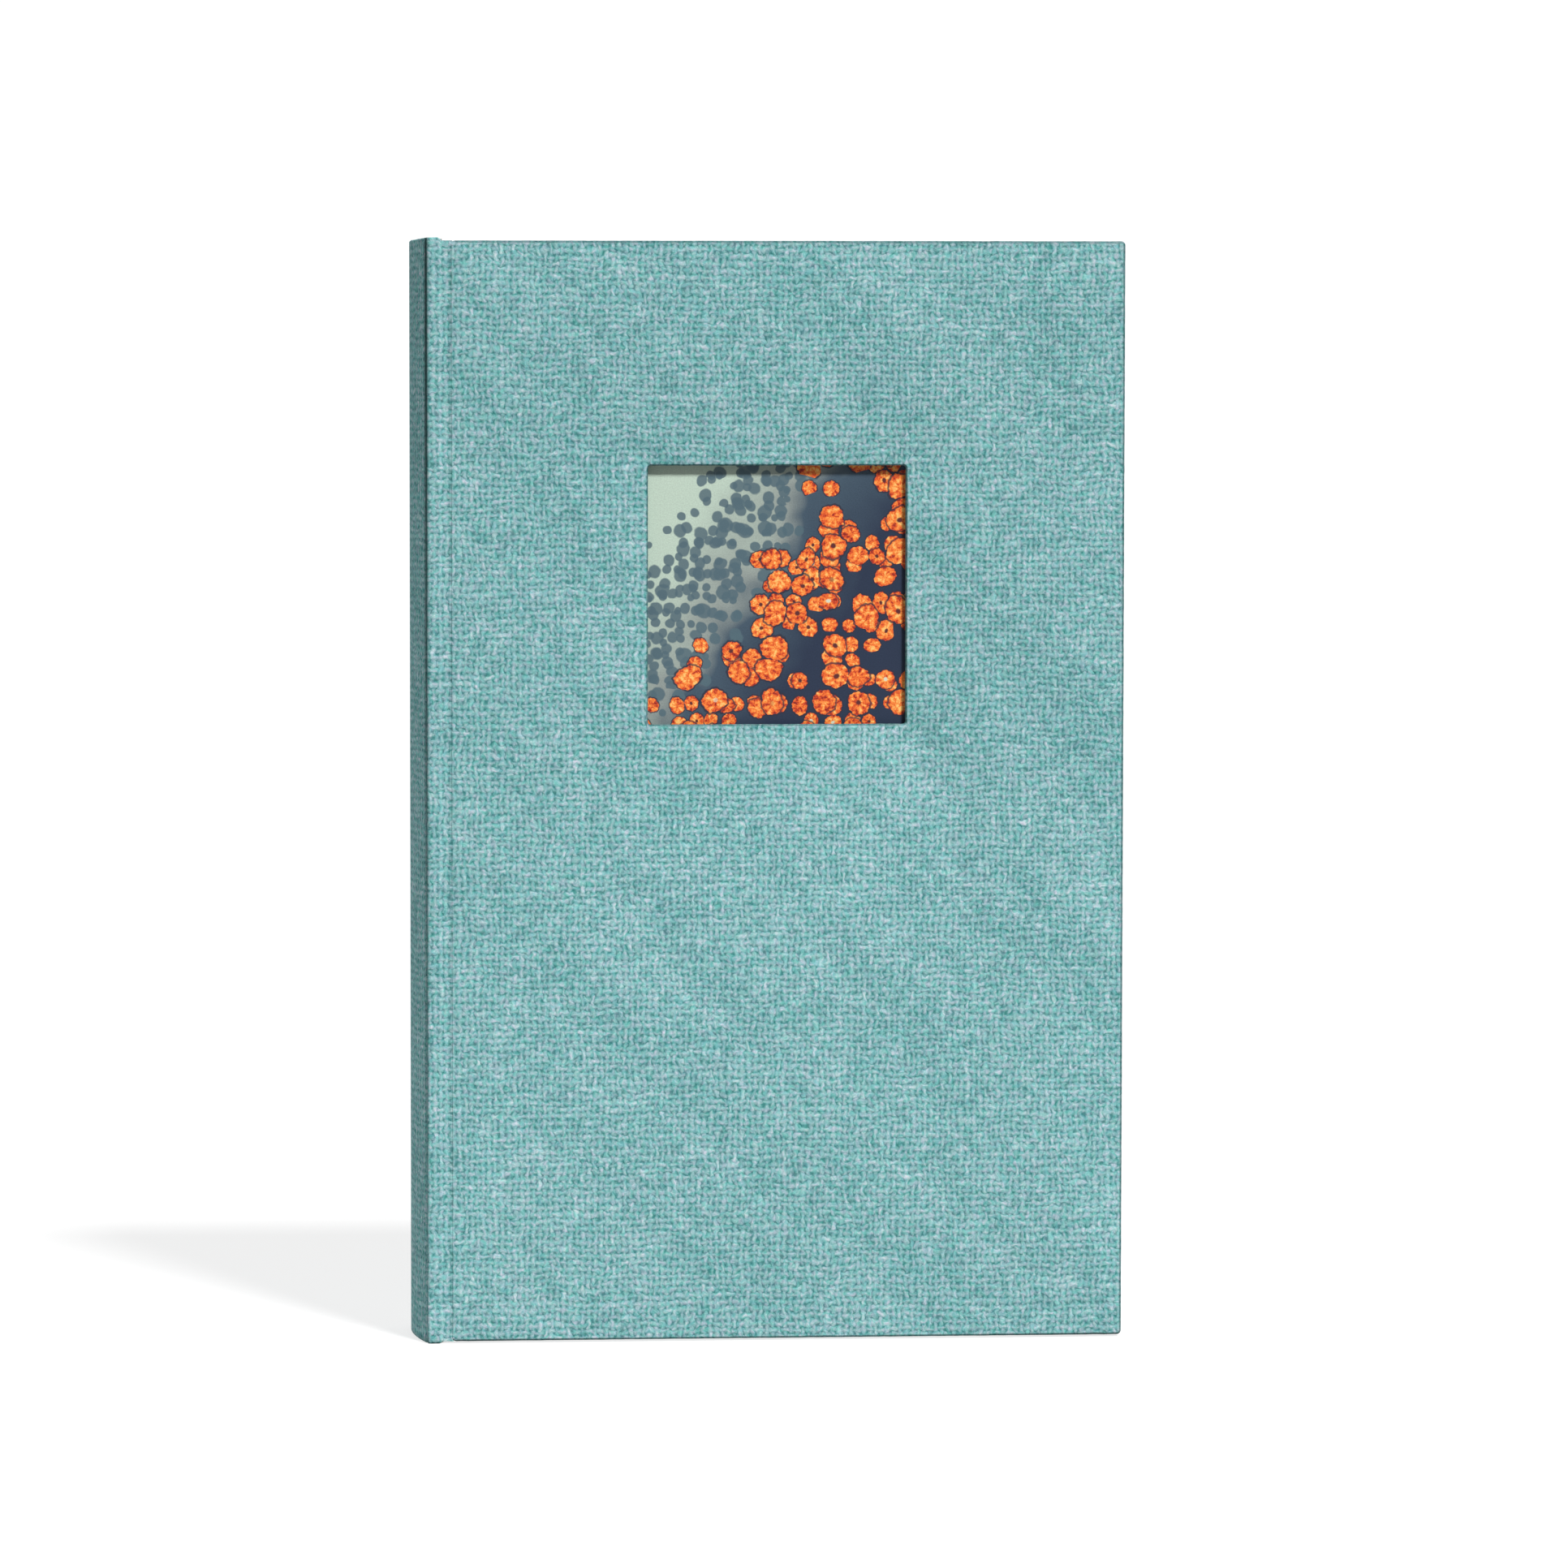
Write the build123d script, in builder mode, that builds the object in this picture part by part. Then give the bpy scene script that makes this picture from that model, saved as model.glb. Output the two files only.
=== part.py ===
"""Cloth-bound scrapbook album with a picture window in its front cover.

The album stands upright on its tail, as on a shelf: +Z is up, the front cover faces -Y and the
rounded spine is at -X. The origin is at the middle of the footprint, on the surface that the
album stands on. Every length is in millimetres.

The binding is a case: a spine with a stiff shoulder at each side, and two covers that swing at
cloth joints beside the shoulders. The leaves are card, bound on guard strips that leave room for
what is glued on them, and each carries a sheet of interleaf paper.
"""

from build123d import *
from math import sqrt
import os

# --- Overall sizes -----------------------------------------------------------------------------
board_height = 370.0      # covers, tail to head, over the cloth
cover_reach = 235.0       # front face, from the spine's crease to the fore-edge
album_thickness = 50.0    # over both closed covers
spine_bulge = 5.0         # how far the rounded spine stands out behind its creases
spine_foot = 0.7          # spine below the boards' tail
spine_rise = 1.0          # spine above the boards' head

# --- Case: cloth, boards and joints --------------------------------------------------------------
cloth = 0.5               # book cloth with its glue
turn_in = 15.0            # cloth folded over the inner side of a board or of the spine card
window_board = 2.5        # the front board that the window is cut in
backing_board = 1.0       # board behind it, which closes the window
endpaper = 0.3
pastedown_margin = 3.0    # cloth left showing round a pastedown
shoulder_width = 5.0      # stiff strip between the spine's crease and the joint
joint_width = 3.0         # groove between the shoulder and the board
joint_dip = 0.2           # how far the joint's cloth lies below the covers' faces
spine_card_thickness = 1.5

# --- Window and its print ------------------------------------------------------------------------
window_side = 87.0
window_drop = 118.7       # window's centre below the boards' head
window_flange = 6.0       # cloth glued on the back of the window board, round the window
print_thickness = 0.3
print_overlap = 5.0       # print hidden behind the board on each side

# --- Book block ------------------------------------------------------------------------------------
leaf_count = 16           # even: half the leaves follow each cover
leaf_thickness = 0.5
interleaf_thickness = 0.15
flyleaf_thickness = 0.25
edge_square = 4.0         # covers overhang the leaves by this much on three sides
block_gap = 0.5           # between a closed cover and the flyleaf
binding_depth = 20.0      # spine's outermost line to the crease that the leaves turn at
crease_gap = 0.3          # slot on each side of the crease line
guard_setback = 1.0       # guards stop this far short of the crease line
interleaf_inset = 2.0     # interleaf paper is this much smaller than its leaf
hollow = 1.5              # open tube between the spine and the lined back of the block
lining = 0.6              # crash and paper glued on the back of the block
band_height = 2.0         # headband and tailband, beyond the leaves
band_depth = 3.0

# --- Worked out from the sizes above ---------------------------------------------------------------
half = album_thickness / 2
fore_edge_x = (cover_reach + spine_bulge) / 2
crease_x = fore_edge_x - cover_reach
spine_x = crease_x - spine_bulge
shoulder_x = crease_x + shoulder_width
cover_x = shoulder_x + joint_width
leaf_crease_x = spine_x + binding_depth
leaf_edge_x = fore_edge_x - edge_square

board_foot = spine_foot
board_head = board_foot + board_height
spine_height = board_head + spine_rise
leaf_foot = board_foot + edge_square
leaf_height = board_height - 2 * edge_square

spine_radius = (half**2 + spine_bulge**2) / (2 * spine_bulge)
spine_centre_x = spine_x + spine_radius
card_inset = cloth + spine_card_thickness
flap_inset = card_inset + cloth
lining_inset = flap_inset + hollow
block_inset = lining_inset + lining

board_stack = window_board + backing_board
cover_thickness = cloth + board_stack + cloth + endpaper
block_half = half - cover_thickness - block_gap
guard_count = leaf_count + 1
guard_thickness = (2 * (block_half - flyleaf_thickness) - leaf_count * leaf_thickness) / guard_count
leaf_pitch = leaf_thickness + guard_thickness
first_leaf_y = -block_half + flyleaf_thickness + guard_thickness + leaf_thickness / 2

window_x = (crease_x + fore_edge_x) / 2
window_z = board_head - window_drop
lined_side = window_side + 2 * cloth
pocket_side = lined_side + 2 * window_flange
pocket_depth = cloth + print_thickness
print_side = window_side + 2 * print_overlap

FRONT = -1
BACK = 1


def save(piece, name):
    """Name a finished piece and write it out."""
    piece.part.label = name
    export_step(piece.part, f"parts/{name}.step")


def slab(side, depth, thickness, left, right, foot, head, mode=Mode.ADD):
    """A flat board in the builder at hand, its outer face `depth` inside a cover's outer face."""
    outward = Align.MIN if side == FRONT else Align.MAX
    with Locations((left, side * (half - depth), foot)):
        Box(right - left, thickness, head - foot, align=(Align.MIN, outward, Align.MIN), mode=mode)


def spine_outline(inset):
    """Plan of all that lies inside the spine's surface when a skin `inset` thick is taken off."""
    radius = spine_radius - inset
    reach = half - inset
    corner_x = spine_centre_x - sqrt(radius**2 - reach**2)
    with BuildSketch() as outline:
        with BuildLine():
            ThreePointArc((corner_x, -reach), (spine_centre_x - radius, 0), (corner_x, reach))
            Polyline((corner_x, reach), (shoulder_x, reach), (shoulder_x, -reach), (corner_x, -reach))
        make_face()
    return outline.sketch


def spine_hollow(inset):
    """Plan of the space between the shoulders, in front of the spine's surface less `inset`."""
    with BuildSketch() as space:
        with Locations((spine_centre_x, 0)):
            Circle(spine_radius - inset)
        with Locations((spine_x, 0)):
            Rectangle(spine_radius, 2 * block_half, align=(Align.MIN, Align.CENTER), mode=Mode.INTERSECT)
    return space.sketch


def spine_layer(outer, inner):
    """Plan of one curved layer between the shoulders, from one inset to a deeper one."""
    with BuildSketch() as layer:
        add(spine_hollow(outer))
        add(spine_hollow(inner), mode=Mode.SUBTRACT)
    return layer.sketch


def block_layers(thickness, middles, front_x):
    """Plan of flat layers of the block, trimmed to its rounded back, up to a line at front_x."""
    with BuildSketch() as layers:
        for middle in middles:
            with Locations(((spine_x + front_x) / 2, middle)):
                Rectangle(front_x - spine_x, thickness)
        with Locations((spine_centre_x, 0)):
            Circle(spine_radius - block_inset, mode=Mode.INTERSECT)
    return layers.sketch


# --- Spine: one cloth skin over a curved card and two shoulder strips ------------------------------
def make_spine_cloth():
    """Cloth round the spine and shoulders, folded over both ends and down inside the card."""
    with BuildPart() as spine_cloth:
        with BuildSketch():
            add(spine_outline(0))
            add(spine_outline(cloth), mode=Mode.SUBTRACT)
        extrude(amount=spine_height)
        for foot in (0, spine_height - cloth):
            with BuildSketch(Plane.XY.offset(foot)):
                add(spine_outline(0))
                add(spine_hollow(flap_inset), mode=Mode.SUBTRACT)
            extrude(amount=cloth)
        for foot in (0, spine_height - turn_in):
            with BuildSketch(Plane.XY.offset(foot)):
                add(spine_layer(card_inset, flap_inset))
            extrude(amount=turn_in)
    save(spine_cloth, "spine_cloth")


def make_spine_card():
    """Curved stiffener between the shoulders, as tall as the cloth that is folded over it."""
    with BuildPart() as spine_card:
        with BuildSketch(Plane.XY.offset(cloth)):
            add(spine_layer(cloth, card_inset))
        extrude(amount=spine_height - 2 * cloth)
    save(spine_card, "spine_card")


def make_shoulder(side, name):
    """Stiff strip that fills a corner of the spine and carries the block at that side."""
    with BuildPart() as shoulder:
        with BuildSketch(Plane.XY.offset(cloth)):
            add(spine_outline(cloth))
            with Locations(((spine_x + shoulder_x) / 2, side * (half + block_half) / 2)):
                Rectangle(shoulder_x - spine_x, half - block_half, mode=Mode.INTERSECT)
        extrude(amount=spine_height - 2 * cloth)
    save(shoulder, name)


def make_joint_cloth(side, name):
    """Bare cloth in the groove between a shoulder and its cover: the cover swings on it."""
    with BuildPart() as joint_cloth:
        slab(side, joint_dip, cloth, shoulder_x, cover_x, board_foot, board_head)
    save(joint_cloth, name)


# --- Covers: boards, cloth with its turn-ins, liner and pastedown ----------------------------------
def window_slab(side_length, depth, thickness, mode=Mode.ADD):
    """Square layer centred on the window, `depth` inside the front cover's face."""
    with Locations((window_x, -half + depth, window_z)):
        Box(side_length, thickness, side_length, align=(Align.CENTER, Align.MIN, Align.CENTER), mode=mode)


def cover_cloth_body(side):
    """Cloth over a board: its face and edges, and the turn-ins at head, tail and fore-edge."""
    left = cover_x + cloth
    right = fore_edge_x - cloth
    foot = board_foot + cloth
    head = board_head - cloth
    slab(side, 0, board_stack + 2 * cloth, cover_x, fore_edge_x, board_foot, board_head)
    slab(side, cloth, board_stack, left, right, foot, head, Mode.SUBTRACT)
    slab(side, cloth + board_stack, cloth, left, fore_edge_x - turn_in,
         board_foot + turn_in, board_head - turn_in, Mode.SUBTRACT)


def make_front_cover_cloth():
    """Front cover's cloth, taken through the window and glued on the back of the window board."""
    flange_depth = cloth + window_board - pocket_depth
    with BuildPart() as front_cover_cloth:
        cover_cloth_body(FRONT)
        window_slab(lined_side, 0, flange_depth + cloth)
        window_slab(pocket_side, flange_depth, cloth)
        window_slab(window_side, 0, flange_depth + cloth, Mode.SUBTRACT)
    save(front_cover_cloth, "front_cover_cloth")


def make_back_cover_cloth():
    """Back cover's cloth, plain."""
    with BuildPart() as back_cover_cloth:
        cover_cloth_body(BACK)
    save(back_cover_cloth, "back_cover_cloth")


def board(side, depth, thickness):
    """A board as large as the cloth leaves room for."""
    slab(side, depth, thickness, cover_x + cloth, fore_edge_x - cloth, board_foot + cloth, board_head - cloth)


def make_window_board():
    """Front board with the window through it and a shallow pocket for the print behind it."""
    with BuildPart() as front_board:
        board(FRONT, cloth, window_board)
        window_slab(lined_side, cloth, window_board, Mode.SUBTRACT)
        window_slab(pocket_side, cloth + window_board - pocket_depth, pocket_depth, Mode.SUBTRACT)
    save(front_board, "front_window_board")


def make_window_print():
    """Picture on card, larger than the window, held in the pocket by the backing board."""
    with BuildPart() as window_print:
        window_slab(print_side, cloth + window_board - print_thickness, print_thickness)
    save(window_print, "window_print")


def make_plain_board(side, depth, thickness, name):
    """Backing board of the front cover, or the whole board of the back cover."""
    with BuildPart() as plain_board:
        board(side, depth, thickness)
    save(plain_board, name)


def make_liner(side, name):
    """Thin card that fills the space inside the turn-ins, so that the pastedown lies flat."""
    with BuildPart() as liner:
        slab(side, cloth + board_stack, cloth, cover_x + cloth, fore_edge_x - turn_in,
             board_foot + turn_in, board_head - turn_in)
    save(liner, name)


def make_pastedown(side, name):
    """Half of the endpaper, glued over the liner and the edges of the turn-ins."""
    with BuildPart() as pastedown:
        slab(side, cover_thickness - endpaper, endpaper, cover_x + cloth, fore_edge_x - pastedown_margin,
             board_foot + pastedown_margin, board_head - pastedown_margin)
    save(pastedown, name)


# --- Book block: guards, margins, lining and bands ---------------------------------------------------
leaf_middles = [first_leaf_y + leaf_pitch * number for number in range(leaf_count)]
guard_middles = [middle - leaf_pitch / 2 for middle in leaf_middles] + [leaf_middles[-1] + leaf_pitch / 2]
flyleaf_middle = block_half - flyleaf_thickness / 2


def make_block_layers(thickness, middles, front_x, name):
    """Strips that are glued up into the block: guards, or the bound margins of the leaves."""
    with BuildPart() as strips:
        with BuildSketch(Plane.XY.offset(leaf_foot)):
            add(block_layers(thickness, middles, front_x))
        extrude(amount=leaf_height)
    save(strips, name)


def make_block_back(outer, inner, foot, height, name):
    """Layer that follows the block's rounded back: the lining, or an end band."""
    with BuildPart() as back:
        with BuildSketch(Plane.XY.offset(foot)):
            add(spine_layer(outer, inner))
        extrude(amount=height)
    save(back, name)


# --- Leaves: each turns on its own crease ------------------------------------------------------------
def make_leaf(middle, thickness, name):
    """Free part of a leaf, from its crease to the fore-edge."""
    left = leaf_crease_x + crease_gap
    with BuildPart() as leaf:
        with Locations((left, middle, leaf_foot)):
            Box(leaf_edge_x - left, thickness, leaf_height, align=(Align.MIN, Align.CENTER, Align.MIN))
    save(leaf, name)


def make_interleaf(middle, name):
    """Thin sheet that protects the leaf it lies on, glued along its bound edge."""
    left = leaf_crease_x + crease_gap
    face = middle - leaf_thickness / 2
    with BuildPart() as interleaf:
        with Locations((left, face, leaf_foot + interleaf_inset)):
            Box(leaf_edge_x - interleaf_inset - left, interleaf_thickness,
                leaf_height - 2 * interleaf_inset, align=(Align.MIN, Align.MAX, Align.MIN))
    save(interleaf, name)


os.makedirs("parts", exist_ok=True)

make_spine_cloth()
make_spine_card()
make_shoulder(FRONT, "front_shoulder_strip")
make_shoulder(BACK, "back_shoulder_strip")
make_joint_cloth(FRONT, "front_joint_cloth")
make_joint_cloth(BACK, "back_joint_cloth")

make_front_cover_cloth()
make_window_board()
make_window_print()
make_plain_board(FRONT, cloth + window_board, backing_board, "front_backing_board")
make_liner(FRONT, "front_liner")
make_pastedown(FRONT, "front_pastedown")

make_back_cover_cloth()
make_plain_board(BACK, cloth, board_stack, "back_board")
make_liner(BACK, "back_liner")
make_pastedown(BACK, "back_pastedown")

make_block_layers(guard_thickness, guard_middles, leaf_crease_x - guard_setback, "guard_strips")
make_block_layers(leaf_thickness, leaf_middles, leaf_crease_x - crease_gap, "leaf_margins")
make_block_layers(flyleaf_thickness, (-flyleaf_middle, flyleaf_middle), leaf_crease_x - crease_gap,
                  "flyleaf_margins")
make_block_back(lining_inset, block_inset, leaf_foot, leaf_height, "spine_lining")
make_block_back(lining_inset, block_inset + band_depth, leaf_foot + leaf_height, band_height, "headband")
make_block_back(lining_inset, block_inset + band_depth, leaf_foot - band_height, band_height, "tailband")

make_leaf(-flyleaf_middle, flyleaf_thickness, "front_flyleaf")
for number, middle in enumerate(leaf_middles, start=1):
    make_leaf(middle, leaf_thickness, f"leaf_{number:02d}")
    make_interleaf(middle, f"interleaf_{number:02d}")
make_leaf(flyleaf_middle, flyleaf_thickness, "back_flyleaf")
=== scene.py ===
"""Looks of a cloth-bound scrapbook album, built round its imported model.

Every length is in metres, in the model's own frame: +Z up, the front cover towards -Y and the
rounded spine towards -X. The sections follow the album as it is bound: the spine, the covers and
their joints, the picture in the window, the block with its bands, and the leaves.
"""

import math

import bmesh
import bpy
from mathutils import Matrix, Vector, noise


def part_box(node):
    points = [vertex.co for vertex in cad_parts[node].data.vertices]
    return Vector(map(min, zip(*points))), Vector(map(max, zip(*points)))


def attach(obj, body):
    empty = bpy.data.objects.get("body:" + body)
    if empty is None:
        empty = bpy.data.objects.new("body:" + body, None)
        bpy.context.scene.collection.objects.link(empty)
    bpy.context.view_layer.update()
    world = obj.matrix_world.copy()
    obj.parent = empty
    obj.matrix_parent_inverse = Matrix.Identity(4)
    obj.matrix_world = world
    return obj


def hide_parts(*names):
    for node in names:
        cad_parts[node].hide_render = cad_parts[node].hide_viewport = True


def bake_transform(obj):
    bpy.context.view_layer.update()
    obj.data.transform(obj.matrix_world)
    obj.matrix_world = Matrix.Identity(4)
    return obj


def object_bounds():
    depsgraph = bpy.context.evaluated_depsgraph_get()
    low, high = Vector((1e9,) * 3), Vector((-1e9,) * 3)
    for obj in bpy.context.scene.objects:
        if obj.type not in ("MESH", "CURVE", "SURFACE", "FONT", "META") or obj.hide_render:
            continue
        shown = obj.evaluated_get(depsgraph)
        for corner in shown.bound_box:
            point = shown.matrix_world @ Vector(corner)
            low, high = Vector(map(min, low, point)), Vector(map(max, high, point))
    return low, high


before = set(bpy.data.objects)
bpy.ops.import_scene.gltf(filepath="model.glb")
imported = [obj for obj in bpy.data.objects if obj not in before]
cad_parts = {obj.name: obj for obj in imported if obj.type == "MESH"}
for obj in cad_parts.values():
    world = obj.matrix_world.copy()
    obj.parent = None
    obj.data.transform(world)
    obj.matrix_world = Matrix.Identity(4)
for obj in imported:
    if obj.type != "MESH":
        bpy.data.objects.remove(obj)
cad_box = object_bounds()


# --- Book cloth --------------------------------------------------------------------------------------
# One heathered plain weave covers the whole case: thick and thin threads dyed teal, pale blue and grey,
# backed with paper so that glue can't soak through. Every cloth mesh carries its place on the flat
# cloth in "cloth_place", so the threads run on unbroken round an edge. That place's third value
# paints shade: a dark line behind each of the spine's creases, and dark cloth where it rolls over the
# covers' edges and down the window's walls.
class Wire:
    """An output socket of a material, and the nodes that can be put after it."""

    def __init__(self, tree, socket=None):
        self.tree = tree
        self.socket = socket

    def node(self, kind, settings=None, sockets=None, output=0):
        """Adds a node: its settings first, then the values or links of its sockets."""
        made = self.tree.nodes.new("ShaderNode" + kind)
        for name, value in (settings or {}).items():
            if name == "stops":
                elements = made.color_ramp.elements
                while len(elements) < len(value):
                    elements.new(0.5)
                for element, (place, colour) in zip(elements, value):
                    element.position = place
                    element.color = (*colour, 1.0)
            else:
                setattr(made, name, value)
        for name, value in (sockets or {}).items():
            if isinstance(value, Wire):
                self.tree.links.new(value.socket, made.inputs[name])
            else:
                made.inputs[name].default_value = value
        return Wire(self.tree, made.outputs[output])

    def also(self, output):
        """Another output of the same node."""
        return Wire(self.tree, self.socket.node.outputs[output])

    def maths(self, operation, *others):
        return self.node("Math", {"operation": operation}, dict(enumerate((self, *others))))

    def __add__(self, other):
        return self.maths("ADD", other)

    def __sub__(self, other):
        return self.maths("SUBTRACT", other)

    def __mul__(self, other):
        return self.maths("MULTIPLY", other)

    def __radd__(self, other):
        return self.maths("ADD", other)

    def __rmul__(self, other):
        return self.maths("MULTIPLY", other)

    def __rsub__(self, other):
        return self.node("Math", {"operation": "SUBTRACT"}, {0: other, 1: self})

    def limited(self):
        """Kept between 0 and 1."""
        return self.node("Clamp", sockets={0: self})

    def step(self, low, high):
        """A smooth step from 0 to 1 while this value goes from low to high."""
        return self.node("MapRange", {"interpolation_type": "SMOOTHSTEP"}, {0: self, 1: low, 2: high})

    def split(self):
        """The three parts of a vector."""
        first = self.node("SeparateXYZ", sockets={0: self})
        return first, first.also(1), first.also(2)

    def joined(self, x, y, z=0.0):
        """A vector of three values."""
        return self.node("CombineXYZ", sockets={0: x, 1: y, 2: z})

    def clouds(self, place, scale, detail=2.0, output=0):
        """Noise at a place, with about `scale` lumps to the unit of length."""
        return self.node("TexNoise", sockets={"Vector": place, "Scale": scale, "Detail": detail},
                         output=output)

    def colour(self, stops):
        """A colour for this value, from a list of places and colours."""
        return self.node("ValToRGB", {"stops": stops}, {0: self.limited()})

    def between(self, first, second):
        """One colour turned into another as this value goes from 0 to 1."""
        return self.node("Mix", {"data_type": "RGBA"}, {0: self, 6: first, 7: second}, output=2)

    def tint(self, colour, by):
        """A colour multiplied by another."""
        return self.node("Mix", {"data_type": "RGBA", "blend_type": "MULTIPLY"}, {0: 1.0, 6: colour, 7: by},
                         output=2)

    def to(self, shader, socket):
        self.tree.links.new(self.socket, shader.inputs[socket])

    def raise_surface(self, shader, depth):
        """This height, from 0 to 1, stands for a depth in metres."""
        bump = self.node("Bump", sockets={"Strength": 1.0, "Distance": depth, "Height": self})
        bump.to(shader, "Normal")


def new_finish(name, constants):
    """A material with its constant values set, the start of its nodes, and its shader."""
    material = bpy.data.materials.new(name)
    material.use_nodes = True
    shader = material.node_tree.nodes["Principled BSDF"]
    for socket, value in constants.items():
        shader.inputs[socket].default_value = value
    return material, Wire(material.node_tree), shader


def make_book_cloth():
    """The weave, worked out in millimetres on the flat cloth."""
    warp_pitch = 2.07        # threads that run from head to tail
    weft_pitch = 2.35        # threads that run from side to side
    long_bend = 3.0          # how far the threads wander
    short_bend_across = 1.7
    short_bend_up = 1.9
    under = 0.72             # height of a thread where it passes under another
    over_extra = 0.22        # how much higher it is where it passes over
    painted_shade_strength = 0.95
    weave_depth = 0.00022    # in metres
    material, wire, shader = new_finish("book_cloth", {
        "Sheen Weight": 0.01, "Sheen Roughness": 0.5, "Specular IOR Level": 0.06})
    across, up, painted_shade = wire.node("Attribute", {"attribute_name": "cloth_place"}, output=1).split()
    across = across * 1000
    up = up * 1000
    flat = wire.joined(across, up)

    slow_x, slow_y, _ = wire.clouds(flat, 0.09, 1.0, output=1).split()
    quick_x, quick_y, _ = wire.clouds(flat, 0.45, 1.0, output=1).split()
    across = across + (slow_x - 0.5) * long_bend + (quick_x - 0.5) * short_bend_across
    up = up + (slow_y - 0.5) * long_bend + (quick_y - 0.5) * short_bend_up

    # Each thread is round, and passes over and under its neighbours by turns.
    warp_turn = across * (1 / warp_pitch)
    weft_turn = up * (1 / weft_pitch)
    warp_number = warp_turn.maths("FLOOR")
    weft_number = weft_turn.maths("FLOOR")
    over = ((warp_number + weft_number) * math.pi).maths("COSINE") * 0.5 + 0.5
    warp_top = (warp_turn.maths("FRACT") * math.pi).maths("SINE") * (over * over_extra + under)
    weft_top = (weft_turn.maths("FRACT") * math.pi).maths("SINE") * ((1 - over) * over_extra + under)
    height = warp_top.maths("MAXIMUM", weft_top)
    warp_shows = (warp_top - weft_top).step(-0.12, 0.12)

    # A thread's dye changes slowly along it, and its fibres quickly.
    warp_dye = wire.clouds(wire.joined(warp_number * 7.3, up * 0.22), 1.0)
    weft_dye = wire.clouds(wire.joined(across * 0.16, weft_number * 9.1), 1.0)
    warp_fibre = wire.clouds(wire.joined(across * 3.4, up * 1.3), 1.0, 3.0)
    weft_fibre = wire.clouds(wire.joined(across * 1.3, up * 3.4, 5.0), 1.0, 3.0)
    dye = warp_shows * (warp_dye - weft_dye) + weft_dye
    fibre = warp_shows * (warp_fibre - weft_fibre) + weft_fibre
    cloud = wire.clouds(wire.joined(across + up * 0.8, up * 0.35), 0.035, 3.0)

    # Besides dye, fibres and clouds, the tone is darker in the hollows between threads and lighter on their
    # crowns: painted shade, over the bump.
    tone = ((height - 0.74) * 0.85 + (dye - 0.5) * 1.25 + (fibre - 0.5) * 1.15 + (cloud - 0.5) * 0.35 + 0.5)
    dyed = tone.colour([
        (0.0, (0.072, 0.222, 0.224)),
        (0.30, (0.155, 0.348, 0.355)),
        (0.52, (0.230, 0.440, 0.450)),
        (0.75, (0.310, 0.520, 0.535)),
        (1.0, (0.470, 0.645, 0.675))])
    redder = wire.clouds(wire.joined(across, up, 11.0), 0.75, 2.0)
    bluer = wire.clouds(wire.joined(across, up, 47.0), 0.62, 2.0)
    dyed = wire.tint(dyed, redder.colour([(0.34, (0.66, 0.97, 0.93)), (0.66, (1.34, 1.03, 1.08))]))
    dyed = wire.tint(dyed, bluer.colour([(0.36, (0.93, 1.03, 0.97)), (0.64, (1.07, 0.97, 1.04))]))
    # Painted shade: where the place's third value is set, the cloth turns dark teal, along the spine's
    # creases, the covers' rolled edges and the window's walls.
    (painted_shade * painted_shade_strength).between(dyed, (0.014, 0.048, 0.048, 1)).to(shader, "Base Color")
    (height * -0.12 + 0.94).to(shader, "Roughness")
    (height * 0.75 + fibre * 0.35).raise_surface(shader, weave_depth)
    return material


def new_piece(name, points, faces, material, places=None):
    """An object from its points and faces, with each point's place on the flat cloth. A place has a
    third value that paints shade: where it is set, the cloth is drawn darker."""
    mesh = bpy.data.meshes.new(name)
    mesh.from_pydata([tuple(point) for point in points], [], faces)
    if places:
        attribute = mesh.attributes.new("cloth_place", "FLOAT_VECTOR", "POINT")
        attribute.data.foreach_set("vector", [value for place in places for value in (*place, 0.0)[:3]])
    building = bmesh.new()
    building.from_mesh(mesh)
    bmesh.ops.recalc_face_normals(building, faces=building.faces)
    building.to_mesh(mesh)
    building.free()
    mesh.shade_smooth()
    mesh.set_sharp_from_angle(angle=math.radians(50))
    mesh.materials.append(material)
    piece = bpy.data.objects.new(name, mesh)
    bpy.context.scene.collection.objects.link(piece)
    return piece


def lofted(rows, count, round_trip, closed_rows):
    """Faces between rows of `count` points each. round_trip joins the last row to the first, and
    closed_rows joins each row's last point to its first."""
    faces = []
    for row in range(rows if round_trip else rows - 1):
        here = row * count
        beyond = (row + 1) % rows * count
        for point in range(count if closed_rows else count - 1):
            beside = (point + 1) % count
            faces.append((here + point, here + beside, beyond + beside, beyond + point))
    return faces


book_cloth = make_book_cloth()


# --- Spine: cloth over the shoulders and the rounded card --------------------------------------------
# One strip of book cloth runs from shoulder to shoulder round the curved spine card. It is creased
# where the card meets the shoulders, and folded over the card's head and tail and down inside. Just
# behind each crease the cloth carries a dark line of painted shade, full from near the head and faint
# at the tail.
cloth = 0.0005
cloth_uneven = 0.00007       # height of the unevenness that the threads give a surface
cloth_lumps = 420            # and its lumps to the metre
turn_in = 0.015
spine_bulge = 0.005
spine_flap_inset = 0.0025    # spine's surface to the inner face of the fold
flap_clearance = 0.00008     # between that face and the flyleaves' margins
spine_edge_round = 0.0007
fold_flat = 0.0015           # flat top of the fold
crease_round = 0.0006
flap_crease_round = 0.0004
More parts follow.
